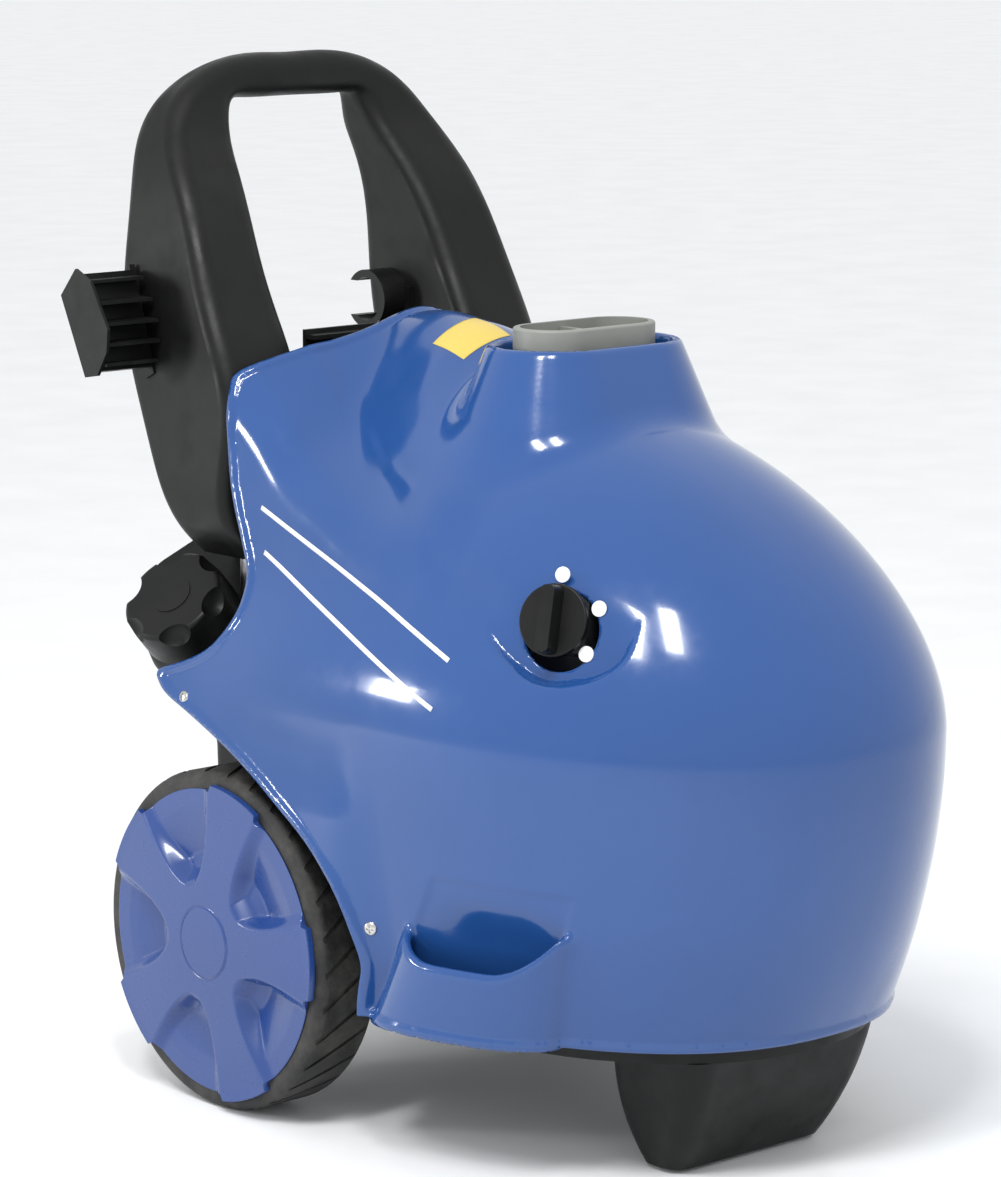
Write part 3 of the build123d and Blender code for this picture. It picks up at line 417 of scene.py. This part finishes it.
def stadium(x, y):
    """Distance from the spine of the collar's long round outline."""
    return np.hypot(np.maximum(np.abs(x) - COLLAR_HALF, 0), y - COLLAR_Y)


def with_collar(body, x, y, z):
    """Adds the flared collar round the flue, and its well."""
    drop = np.clip(COLLAR_TOP - z, 0, 160)
    wall = (stadium(x, y) - (COLLAR_R + 0.42 * drop)) * 0.92
    collar = smax(wall, z - COLLAR_TOP, 6.0)
    body = smin(body, collar, 13.0)
    well = np.maximum(stadium(x, y) - WELL_R, 590 - z)
    return smax(body, -well, 5.0)


POCKET_AT = (-205.0, -120.0)         # a point on the flank behind the pocket
POCKET_TURN = radians(15)            # the flank's direction there, from the machine's long axis
POCKET_FOOT, POCKET_TOP = 93.0, 252.0
POCKET_WALL, POCKET_POWER = 8.0, 2.4


def along_flank(x, y):
    """Distance forward along the flank, and outward from it."""
    dx, dy = x - POCKET_AT[0], y - POCKET_AT[1]
    return dx * sin(POCKET_TURN) - dy * cos(POCKET_TURN), -dx * cos(POCKET_TURN) - dy * sin(POCKET_TURN)


def pocket_plan(x, y, z):
    """Distance outside the pocket's outer wall: a rounded bulge that leans forward as it rises."""
    t, n = along_flank(x, y)
    rise = z - POCKET_FOOT
    half = 92 - 0.08 * rise
    proud = 35 + 0.17 * rise
    off = np.abs(t + 9 - 0.36 * rise) / half
    out = np.clip(n, 0, None) / proud
    power = POCKET_POWER
    size = (off ** power + out ** power + 1e-9) ** (1 / power)
    slope = np.hypot((off / size) ** (power - 1) / half, (out / size) ** (power - 1) / proud)
    return (size - 1) / np.maximum(slope, 1 / half)


def pocket_lip(t):
    """Height of the pocket's lip, which rises to an ear at each end."""
    return 187 + 34 * np.clip((-10 - t) / 50, 0, 1) ** 2 + 34 * np.clip((t - 48) / 60, 0, 1) ** 2


def with_pocket(body, x, y, z):
    """Adds the lance pocket's cup, and hollows it and the flank behind it."""
    t, _ = along_flank(x, y)
    wall = pocket_plan(x, y, z)
    cup = smax(smax(wall, POCKET_FOOT - z, 10.0), z - pocket_lip(t), 9.0)
    cup = np.where(x < -90, cup, 60.0)
    dent = 11 * (1 - step(np.abs(t - 44), 14, 84)) * step(-z, -252, -200)
    space = smax(wall + POCKET_WALL, -(dome(x, y, z) + dent + 0.5), 7.0)
    space = smax(smax(space, 130 - z, 12.0), z - POCKET_TOP, 4.0)
    space = np.where(x < -90, space, 60.0)
    return smax(smin(body, cup, 7.0), -space, 5.0)


SWITCH_AT = np.array([-176.0, -197.0, 473.0])
SWITCH_N = np.array([-0.892, -0.361, 0.271])
SWITCH_U = np.array([0.375, -0.927, 0.0])
SWITCH_V = np.cross(SWITCH_N, SWITCH_U)
PLATE = ((-59, -9), (-46, 16), (-17, 44), (18, 59), (50, 44), (67, 13), (61, -27), (22, -46), (-28, -38))


def on_plate(x, y, z):
    """Coordinates across, up and out of the switch plate."""
    offset = (x - SWITCH_AT[0], y - SWITCH_AT[1], z - SWITCH_AT[2])
    return [sum(o * a for o, a in zip(offset, axis)) for axis in (SWITCH_U, SWITCH_V, SWITCH_N)]


def plate_edge(u, v):
    """Distance outside the plate's leaf outline, whose points are joined smoothly round its middle."""
    middle = (6.0, 4.0)
    around = [atan2(b - middle[1], a - middle[0]) for a, b in PLATE]
    reach = [hypot(a - middle[0], b - middle[1]) for a, b in PLATE]
    order = np.argsort(around)
    angle = np.array(around)[order]
    far = np.array(reach)[order]
    fine = np.linspace(-pi, pi, 361)
    smooth = np.interp(fine, np.r_[angle - 2 * pi, angle, angle + 2 * pi], np.tile(far, 3))
    kernel = np.hanning(25)
    kernel /= kernel.sum()
    smooth = np.convolve(np.r_[smooth[-31:-1], smooth, smooth[1:31]], kernel, "same")[30:-30]
    return np.hypot(u - middle[0], v - middle[1]) - np.interp(np.arctan2(v - middle[1], u - middle[0]), fine,
                                                              smooth)


def with_switch(body, x, y, z):
    """Sinks the switch plate's flat leaf into the dome."""
    near = np.abs(x - SWITCH_AT[0]) < 110
    near &= np.abs(y - SWITCH_AT[1]) < 120
    near &= np.abs(z - SWITCH_AT[2]) < 110
    if not near.any():
        return body
    shape = body.copy()
    u, v, out = on_plate(x[near], y[near], z[near])
    cut = np.maximum(-out, plate_edge(u, v) - 0.35 * np.clip(out, 0, None))
    shape[near] = smax(body[near], -cut, 5.0)
    return shape


# ---------------------------------------------------------------- where the hood ends
RIM_Z = 122.0
REAR_EDGE = ((176, 700), (180, 672), (192, 660), (206, 646), (218, 635), (214, 622), (212, 605), (208, 564),
             (198, 528), (177, 490), (165, 469), (163, 450), (166, 435), (179, 416), (198, 400), (227, 387),
             (258, 377), (265, 373), (264, 368), (248, 356), (210, 345), (153, 326), (112, 309), (77, 291),
             (36, 268), (3, 241), (-15, 215), (-26, 186), (-31, 166), (-29, 150), (-27, 132), (-27, 80))


def rounded(points):
    """An open line with its corners cut twice."""
    for _ in range(2):
        points = [points[0]] + [(a[0] * (1 - k) + b[0] * k, a[1] * (1 - k) + b[1] * k)
                                for a, b in zip(points, points[1:]) for k in (0.25, 0.75)] + [points[-1]]
    return points


def outline_cut(y, z):
    """Distance past the hood's rear edge, tail and wheel arch in side view; above 0 is cut away."""
    loop = rounded(REAR_EDGE) + [(520, 60), (520, 740)]
    inside = np.zeros(y.shape, bool)
    nearest = np.full(y.shape, 1e9)
    for (y0, z0), (y1, z1) in zip(loop, loop[1:] + loop[:1]):
        dy, dz = y1 - y0, z1 - z0
        t = np.clip(((y - y0) * dy + (z - z0) * dz) / (dy * dy + dz * dz + 1e-9), 0, 1)
        nearest = np.minimum(nearest, np.hypot(y - y0 - t * dy, z - z0 - t * dz))
        crosses = (z0 > z) != (z1 > z)
        at = y0 + (z - z0) * dy / (dz if dz else 1e-9)
        inside ^= crosses & (y < at)
    return np.where(inside, nearest, -nearest)


def edge_cut(x, y, z):
    """Above 0 where the moulding is open: behind its rear edge, over the wheels and under its rim."""
    cup = np.where(x < -90, smax(pocket_plan(x, y, z), POCKET_FOOT - z, 10.0) - 2.5, 60.0)
    under = np.minimum(RIM_Z - z, cup)
    return np.maximum(outline_cut(y, z), under)


def hole_cut(x, y, z):
    """Openings inside the moulding: the well's floor and the switch hole."""
    well = np.maximum(stadium(x, y) - (WELL_R - 7), z - 625)
    u, v, out = on_plate(x, y, z)
    switch = np.maximum(np.hypot(u - 4.5, v + 7.5) - 33.5, np.abs(out) - 12)
    return -np.minimum(well, switch)


def beaded(x, y, z):
    """The outer surface with a low bead along its free edges."""
    body = fields(x, y, z)
    margin = edge_cut(x, y, z)
    return body - 2.2 * step(margin, -8, -4.5)


# ---------------------------------------------------------------- from field to mesh
def normals_of(field, points, tiny=0.4):
    """Value and unit gradient of a field at points."""
    x, y, z = points.T
    value = field(x, y, z)
    slope = np.stack([field(x + tiny, y, z) - value, field(x, y + tiny, z) - value,
                      field(x, y, z + tiny) - value], 1) / tiny
    size = np.linalg.norm(slope, axis=1) + 1e-9
    return value, slope / size[:, None], size


def settle(field, points, rounds=3):
    """Moves points along the gradient on to the surface."""
    for _ in range(rounds):
        value, normal, size = normals_of(field, points)
        move = np.clip(value / np.maximum(size, 0.4), -4, 4)
        points = points - normal * move[:, None]
    return points


def surface_of(field, low, high, cell):
    """Triangles of the field's surface on a regular grid."""
    low, high = np.array(low, float), np.array(high, float)
    counts = np.ceil((high - low) / cell).astype(int) + 1
    axes = [low[i] + cell * np.arange(counts[i]) for i in range(3)]
    values = np.empty(counts, np.float32)
    for i, x in enumerate(axes[0]):
        y, z = np.meshgrid(axes[1], axes[2], indexing="ij")
        values[i] = field(np.full(y.shape, x), y, z)
    values = np.clip(values, -3 * cell, 3 * cell)
    grid = openvdb.FloatGrid(3 * cell)
    grid.copyFromArray(values)
    points, triangles, quads = grid.convertToPolygons(0.0, 0.0)
    points = points * cell + low
    faces = np.vstack([triangles, quads[:, [0, 1, 2]], quads[:, [0, 2, 3]]]) if len(triangles) else \
        np.vstack([quads[:, [0, 1, 2]], quads[:, [0, 2, 3]]])
    return points.astype(float), faces


def clip(points, faces, cut, cell):
    """Keeps the part of the surface where cut is below 0, with points moved on to the cut line."""
    value = cut(*points.T)
    near = np.abs(value) < 0.35 * cell
    _, slope, size = normals_of(cut, points[near])
    _, normal, _ = normals_of(beaded, points[near])
    along = slope - normal * (slope * normal).sum(1)[:, None]
    length = np.maximum((along * slope).sum(1), 0.25)
    points[near] -= along * (value[near] / np.maximum(size, 0.5) / length)[:, None]
    value[near] = 0.0
    keep = (value[faces] <= 0).all(1) & (value[faces] < 0).any(1)
    mixed = faces[(value[faces] < 0).any(1) & (value[faces] > 0).any(1)]
    points = list(points)
    made = {}
    extra = []

    def crossing(a, b):
        key = (min(a, b), max(a, b))
        if key not in made:
            share = value[a] / (value[a] - value[b])
            made[key] = len(points)
            points.append(points[a] + (points[b] - points[a]) * share)
        return made[key]

    for face in mixed:
        loop = []
        for a, b in zip(face, np.roll(face, -1)):
            if value[a] <= 0:
                loop.append(a)
            if value[a] * value[b] < 0:
                loop.append(crossing(a, b))
        for i in range(1, len(loop) - 1):
            extra.append((loop[0], loop[i], loop[i + 1]))
    faces = np.vstack([faces[keep], np.array(extra, int)]) if extra else faces[keep]
    return np.array(points), faces


def compact(points, faces):
    """Drops unused points and all but the largest connected sheet."""
    parent = np.arange(len(points))
    while True:
        lowest = parent[faces].min(1)
        before = parent.copy()
        for corner in range(3):
            np.minimum.at(parent, faces[:, corner], lowest)
        parent = parent[parent]
        if (parent == before).all():
            break
    label = parent[faces[:, 0]]
    names, sizes = np.unique(label, return_counts=True)
    faces = faces[label == names[sizes.argmax()]]
    used, inverse = np.unique(faces, return_inverse=True)
    return points[used], inverse.reshape(faces.shape)


def add_mesh(name, points, faces, smooth=True):
    """A mesh object from points in mm."""
    mesh = bpy.data.meshes.new(name)
    places = [tuple(point) for point in np.asarray(points, float) * MM]
    mesh.from_pydata(places, [], [tuple(map(int, face)) for face in faces])
    mesh.validate()
    mesh.update()
    if smooth:
        mesh.shade_smooth()
    obj = bpy.data.objects.new(name, mesh)
    bpy.context.scene.collection.objects.link(obj)
    return obj


def apply_modifiers(obj):
    """Replaces the piece's mesh by its evaluated one."""
    depsgraph = bpy.context.evaluated_depsgraph_get()
    mesh = bpy.data.meshes.new_from_object(obj.evaluated_get(depsgraph))
    obj.modifiers.clear()
    obj.data = mesh
    return obj


def thicken(obj, thickness, offset=-1.0):
    """Gives a sheet a wall, inwards from its face unless told otherwise."""
    solid = obj.modifiers.new("wall", "SOLIDIFY")
    solid.thickness = thickness * MM
    solid.offset = offset
    return apply_modifiers(obj)


def make_hood(material):
    """The blue one-piece moulding with its collar, switch plate and lance pocket."""
    points, faces = surface_of(beaded, (-272, -402, 92), (272, 330, 702), GRID)
    points = settle(beaded, points)
    points, faces = clip(points, faces, edge_cut, GRID)
    points, faces = clip(points, faces, hole_cut, GRID)
    points, faces = compact(points, faces)
    a, b, c = (points[faces[:, i]] for i in range(3))
    _, outward, _ = normals_of(beaded, (a + b + c)[::97] / 3)
    facing = np.einsum("ij,ij->i", np.cross(b - a, c - a)[::97], outward)
    if np.median(facing) < 0:
        faces = faces[:, ::-1]
    hood = add_mesh("hood_moulding", points, faces)
    dress(hood, material)
    thicken(hood, HOOD_WALL)
    hood.data.shade_smooth()
    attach(hood, "root")
    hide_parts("hood")
    return hood


# ---------------------------------------------------------------- hubcaps
SPOKES = 5
SPOKE_AT = radians(105.4)            # the first spoke, from the rear through the top
SPOKE_HALF = radians(13.5)
CAP_EDGE, SPOKE_EDGE = 134.3, 140.5
CAP_CROWN, SPOKE_FALL = 9.3, 4.2     # middle over the base ring, and how far the spokes fall to their ends
HOLLOW_R, HOLLOW_FLOOR = (50, 78, 108, 118, 140), (0.0, -8.0, -1.5, 0.0, 0.3)
HOLLOW_TIP, HOLLOW_LONG, HOLLOW_HALF = 52.0, 76.0, 51.0
BOSS_R = 31.0


def cap_relief(r, turn):
    """Height of the hubcap's face over its rim plane, and the radius of its edge at each angle."""
    pitch = 2 * pi / SPOKES
    off = (turn - SPOKE_AT + pitch / 2) % pitch - pitch / 2
    on_spoke = 1 - step(np.abs(off), SPOKE_HALF - 0.008, SPOKE_HALF + 0.008)
    edge = CAP_EDGE + (SPOKE_EDGE - CAP_EDGE) * on_spoke
    between = np.abs(off) - pitch / 2
    along, across = r * np.cos(between), np.abs(r * np.sin(between))
    reach = HOLLOW_HALF * np.sqrt(np.clip((along - HOLLOW_TIP) / HOLLOW_LONG, 0, 1.2))
    inward = np.minimum(reach - across, (along - HOLLOW_TIP) * 0.9)
    floor = np.interp(r, HOLLOW_R, HOLLOW_FLOOR)
    crown = CAP_CROWN - SPOKE_FALL * (r / SPOKE_EDGE) ** 2
    boss = 0.7 * step(-r, -BOSS_R - 0.4, -BOSS_R + 0.8) - 0.7 * np.exp(-((r - BOSS_R - 1.2) / 0.9) ** 2)
    return crown + (floor - crown) * step(inward, 0, 13) ** 0.8 + boss, edge


def make_hubcap(side, material):
    """Blue five-spoke wheel cover: hollows scooped between spokes whose ends reach past its edge."""
    name = "hubcap_right" if side < 0 else "hubcap_left"
    low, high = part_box(name)
    face = max(abs(low.x), abs(high.x)) / MM - CAP_CROWN - 0.7
    middle_y, middle_z = (low.y + high.y) / 2 / MM, (low.z + high.z) / 2 / MM
    turns = np.linspace(0, 2 * pi, 420, endpoint=False)
    rings = np.r_[np.linspace(2, BOSS_R - 3, 6), np.linspace(BOSS_R - 2, BOSS_R + 4, 10),
                  np.linspace(BOSS_R + 6, CAP_EDGE - 1.5, 46)]
    points = [(side * (face + CAP_CROWN + 0.7), middle_y, middle_z)]
    for r in rings:
        height, _ = cap_relief(np.full(turns.shape, r), turns)
        for h, t in zip(height, turns):
            points.append((side * (face + h), middle_y + r * cos(t), middle_z + r * sin(t)))
    height, edge = cap_relief(np.full(turns.shape, CAP_EDGE - 0.5), turns)
    for inset, share in ((0.5, 1.0), (0.0, 0.85), (0.0, 0.0)):
        for h, t, e in zip(height, turns, edge):
            r = e - inset
            points.append((side * (face + h * share - 0.4 * (1 - share)),
                           middle_y + r * cos(t), middle_z + r * sin(t)))
    count = len(turns)
    faces = [(0, 1 + i, 1 + (i + 1) % count) for i in range(count)]
    for ring in range(len(rings) + 2):
        start = 1 + ring * count
        for i in range(count):
            j = (i + 1) % count
            faces.append((start + i, start + count + i, start + count + j, start + j))
    if side < 0:
        faces = [face[::-1] for face in faces]
    cap = add_mesh(name + "_moulding", points, faces)
    dress(cap, material)
    thicken(cap, 1.6)
    cap.data.shade_smooth()
    cap.data.set_sharp_from_angle(angle=radians(38))
    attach(cap, "wheel_right" if side < 0 else "wheel_left")
    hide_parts(name)


# ---------------------------------------------------------------- decals
DECAL_LIFT, DECAL_SKIN = 0.12, 0.25


def ribbon(name, start, end, width, material, slot_name, body="root", count=60):
    """A printed stripe of even width along the hood's surface between two points."""
    line = np.linspace(np.array(start, float), np.array(end, float), count)
    line = settle(fields, line, 6)
    _, normal, _ = normals_of(fields, line)
    along = np.gradient(line, axis=0)
    across = np.cross(normal, along)
    across /= np.linalg.norm(across, axis=1)[:, None]
    left, right = line + across * width / 2, line - across * width / 2
    sheet = settle(fields, np.vstack([left, line, right]), 6)
    _, normal, _ = normals_of(fields, sheet)
    sheet = sheet + normal * (DECAL_LIFT + DECAL_SKIN)
    faces = []
    for row in range(2):
        for i in range(count - 1):
            a = row * count + i
            faces.append((a, a + 1, a + 1 + count, a + count))
    return finish_decal(name, sheet, faces, normal, material, body)


def patch(name, corners, material, slot_name, body="root", count=24):
    """A film label on the hood's surface, from its four corners."""
    a, b, c, d = (np.array(corner, float) for corner in corners)
    grid = []
    for i in range(count + 1):
        for j in range(count + 1):
            u, v = i / count, j / count
            grid.append((a * (1 - u) + b * u) * (1 - v) + (d * (1 - u) + c * u) * v)
    sheet = settle(fields, np.array(grid), 6)
    _, normal, _ = normals_of(fields, sheet)
    sheet = sheet + normal * (DECAL_LIFT + DECAL_SKIN)
    wide = count + 1
    faces = [(i * wide + j, i * wide + j + 1, (i + 1) * wide + j + 1, (i + 1) * wide + j)
             for i in range(count) for j in range(count)]
    return finish_decal(name, sheet, faces, normal, material, body)


def finish_decal(name, sheet, faces, normal, material, body):
    """Turns a decal's sheet outwards, gives it its skin and ties it to its body."""
    a, b, c = (sheet[faces[0][i]] for i in range(3))
    if np.dot(np.cross(b - a, c - a), normal[faces[0][0]]) < 0:
        faces = [face[::-1] for face in faces]
    decal = add_mesh(name, sheet, faces)
    dress(decal, material)
    thicken(decal, DECAL_SKIN)
    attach(decal, body)
    return decal


STRIPES = (((-181, 159, 525), (-222, -115, 435)), ((-204, 149, 490), (-235, -110, 395)))
STRIPE_WIDE = 4.2
LABEL_CORNERS = ((-62, 104, 680), (-60, 56, 668), (6, 56, 680), (4, 104, 690))


def make_decals():
    """Two plain stripes on each side, and a blank label behind the collar."""
    white, yellow = materials["white_marker"], materials["yellow_label"]
    for side in (-1, 1):
        for row, (start, end) in enumerate(STRIPES):
            label = "right" if side < 0 else "left"
            ends = [(-side * x, y, z) for x, y, z in (start, end)]
            ribbon(f"stripe_{label}_{row}", *ends, STRIPE_WIDE, white, "white_marker")
    patch("blank_label", LABEL_CORNERS, yellow, "white_marker")


# y and z of the two side screws, their head, and its crossed slot
SCREW_AT = ((-34, 198), (222, 356))
HEAD_R, HEAD_RISE, SLOT_HALF, SLOT_REACH, SLOT_DEEP = 6.0, 2.6, 0.8, 3.4, 1.3


def screw_head(side, y, z, rings=14, around=56):
    """Points and faces of one domed head with a crossed slot, seated on the hood."""
    seat = settle(fields, np.array([[side * 236.0, y, z]]), 6)
    _, normal, _ = normals_of(fields, seat)
    out = normal[0]
    along = np.cross(out, (0, 0, 1))
    along /= np.linalg.norm(along)
    up = np.cross(along, out)
    points, faces = [seat[0] + out * HEAD_RISE * 0.5], []
    for ring in range(1, rings + 1):
        for turn in range(around):
            r, angle = HEAD_R * ring / rings, 2 * pi * turn / around
            u, v = r * cos(angle), r * sin(angle)
            slot = min(abs(u), abs(v)) < SLOT_HALF and r < SLOT_REACH
            rise = HEAD_RISE * sqrt(max(0.0, 1 - (r / HEAD_R) ** 2)) - (SLOT_DEEP if slot else 0)
            points.append(seat[0] + along * u + up * v + out * rise)
    for turn in range(around):
        after = (turn + 1) % around
        faces.append((0, 1 + turn, 1 + after))
        for ring in range(rings - 1):
            low, high = 1 + ring * around, 1 + (ring + 1) * around
            faces.append((low + turn, high + turn, high + after, low + after))
    faces.append(tuple(1 + (rings - 1) * around + turn for turn in range(around))[::-1])
    return points, faces


def make_screws(material):
    """The hood's four side screws as one piece."""
    points, faces = [], []
    for side in (-1, 1):
        for y, z in SCREW_AT:
            some, more = screw_head(side, y, z)
            faces += [tuple(i + len(points) for i in face) for face in more]
            points += some
    screws = add_mesh("side_screws", points, faces, smooth=False)
    dress(screws, material)
    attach(screws, "root")
    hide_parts("hood_screws")


add_camera()
materials = make_materials()
add_studio()
slot_of = {part["node"]: part["material_slot"] for part in frame["record"]["subparts"]}
for name, obj in nodes.items():
    dress(obj, materials[slot_of[name]])
make_hood(materials["blue_hood"])
for side in (-1, 1):
    make_hubcap(side, materials["blue_hubcap"])
make_decals()
make_screws(materials["stainless"])
